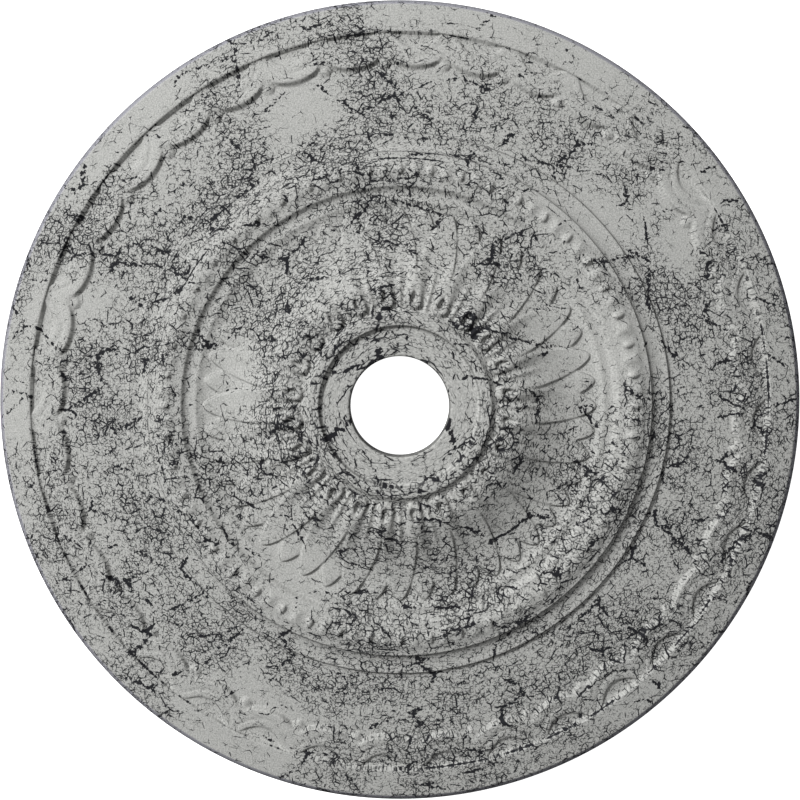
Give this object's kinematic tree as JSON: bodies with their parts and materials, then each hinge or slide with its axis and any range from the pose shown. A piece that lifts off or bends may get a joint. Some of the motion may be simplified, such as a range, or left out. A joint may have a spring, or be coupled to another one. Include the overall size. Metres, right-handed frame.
{
  "type": "ceiling rose",
  "caption": "Round moulded ceiling rose with a looped border, a ring of beads, two rows of leaves on a domed middle and a hub with a centre hole for a pendant lamp.",
  "frame": {"origin": "centre of the flat back, on the plane that beds on the ceiling", "axes": "+Z out of the ornament, away from the ceiling, so the part lies face up here and is turned over to be fixed; +Y to the top of the picture"},
  "size_m": [0.7992, 0.7992, 0.055],
  "materials": {
    "crackle_paint": "pale grey crackle paint over a near-black ground, matt, on moulded rigid foam"
  },
  "bodies": {
    "root": {"ceiling_rose": "crackle_paint"}
  },
  "joints": []
}
